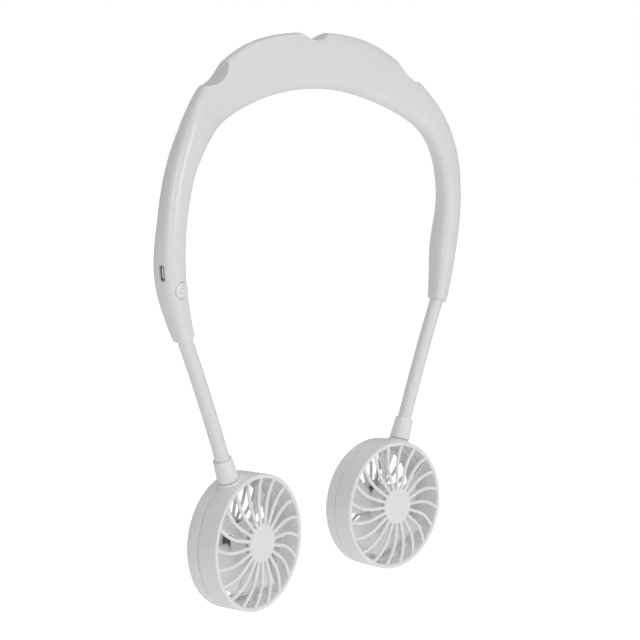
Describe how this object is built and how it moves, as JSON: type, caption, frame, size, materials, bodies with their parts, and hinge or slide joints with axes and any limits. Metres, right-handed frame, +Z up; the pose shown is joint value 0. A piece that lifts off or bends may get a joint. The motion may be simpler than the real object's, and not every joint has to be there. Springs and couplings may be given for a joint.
{
  "type": "electric neck fan",
  "caption": "Wearable neck fan: soft arched neckband with bendable gooseneck arms that carry swivelling round fan heads behind swept-rib grilles.",
  "frame": {"origin": "Where the neckband rests on the back of the neck: the middle of the crown's inner edge.", "axes": "+X across the band towards the arm without the button, +Y to the rear grilles, away from the button and the front grilles, +Z up, with the arms and fan heads hanging below."},
  "size_m": [0.2338, 0.0286, 0.2978],
  "materials": {
    "silicone": "satin",
    "white_plastic": "satin",
    "bezel": "gloss",
    "inner_plastic": "matte",
    "black_plastic": "matte",
    "steel": "satin",
    "motor_can": "satin",
    "magnet": "matte",
    "brass": "satin",
    "cell": "matte",
    "board": "satin",
    "lead": "matte"
  },
  "bodies": {
    "neckband": {"neckband_sleeve": "silicone", "spring_core": "steel", "cross_lead": "lead", "circuit_board": "board", "usb_socket": "steel", "tact_switch": "black_plastic", "button_bezel": "bezel", "left_chassis": "inner_plastic", "left_cell": "cell", "left_gooseneck_anchor": "inner_plastic", "right_chassis": "inner_plastic", "right_cell": "cell", "right_gooseneck_anchor": "inner_plastic"},
    "power_button": {"power_button": "white_plastic"},
    "left_gooseneck": {"left_gooseneck_sleeve": "silicone", "left_gooseneck_core": "steel", "left_motor_lead": "lead"},
    "left_collar": {"left_collar": "white_plastic"},
    "left_head": {"left_front_cover": "white_plastic", "left_rear_cover": "white_plastic", "left_motor_can": "motor_can", "left_motor_bush": "brass", "left_motor_end_cap": "black_plastic", "left_motor_magnets": "magnet", "left_head_lead": "lead"},
    "left_rotor": {"left_impeller": "white_plastic", "left_motor_shaft": "steel", "left_motor_armature": "magnet"},
    "right_gooseneck": {"right_gooseneck_sleeve": "silicone", "right_gooseneck_core": "steel", "right_motor_lead": "lead"},
    "right_collar": {"right_collar": "white_plastic"},
    "right_head": {"right_front_cover": "white_plastic", "right_rear_cover": "white_plastic", "right_motor_can": "motor_can", "right_motor_bush": "brass", "right_motor_end_cap": "black_plastic", "right_motor_magnets": "magnet", "right_head_lead": "lead"},
    "right_rotor": {"right_impeller": "white_plastic", "right_motor_shaft": "steel", "right_motor_armature": "magnet"}
  },
  "joints": [
    {"name": "power_button_press", "type": "slide", "parent": "neckband", "child": "power_button", "axis": [0, 1, 0], "range_m": [0, 0.0004], "stiffness_N_per_m": 1500, "springref_m": -0.0005},
    {"name": "left_gooseneck_spread", "type": "hinge", "parent": "neckband", "child": "left_gooseneck", "pos_m": [-0.09319, -0.0083, -0.13712], "axis": [0, 1, 0], "range_deg": [-8, 40], "deforming": ["left_gooseneck_sleeve", "left_gooseneck_core", "left_motor_lead"]},
    {"name": "left_gooseneck_pitch", "type": "hinge", "parent": "left_gooseneck", "child": "left_collar", "pos_m": [-0.07965, -0.0083, -0.16966], "axis": [-1, 0, 0], "range_deg": [-30, 70], "deforming": ["left_gooseneck_sleeve", "left_gooseneck_core", "left_motor_lead"]},
    {"name": "left_head_swivel", "type": "hinge", "parent": "left_collar", "child": "left_head", "pos_m": [-0.05602, -0.0083, -0.23238], "axis": [-0.3502, 0, 0.9367], "range_deg": [-170, 170]},
    {"name": "left_impeller_spin", "type": "hinge", "parent": "left_head", "child": "left_rotor", "pos_m": [-0.05602, -0.0083, -0.23238], "axis": [0.0947, -0.9949, 0.0354], "continuous": true},
    {"name": "right_gooseneck_spread", "type": "hinge", "parent": "neckband", "child": "right_gooseneck", "pos_m": [0.09319, -0.0083, -0.13712], "axis": [0, -1, 0], "range_deg": [-8, 40], "deforming": ["right_gooseneck_sleeve", "right_gooseneck_core", "right_motor_lead"]},
    {"name": "right_gooseneck_pitch", "type": "hinge", "parent": "right_gooseneck", "child": "right_collar", "pos_m": [0.07965, -0.0083, -0.16966], "axis": [-1, 0, 0], "range_deg": [-30, 70], "deforming": ["right_gooseneck_sleeve", "right_gooseneck_core", "right_motor_lead"]},
    {"name": "right_head_swivel", "type": "hinge", "parent": "right_collar", "child": "right_head", "pos_m": [0.05602, -0.0083, -0.23238], "axis": [0.3502, 0, 0.9367], "range_deg": [-170, 170]},
    {"name": "right_impeller_spin", "type": "hinge", "parent": "right_head", "child": "right_rotor", "pos_m": [0.05602, -0.0083, -0.23238], "axis": [-0.0947, -0.9949, 0.0354], "continuous": true}
  ]
}
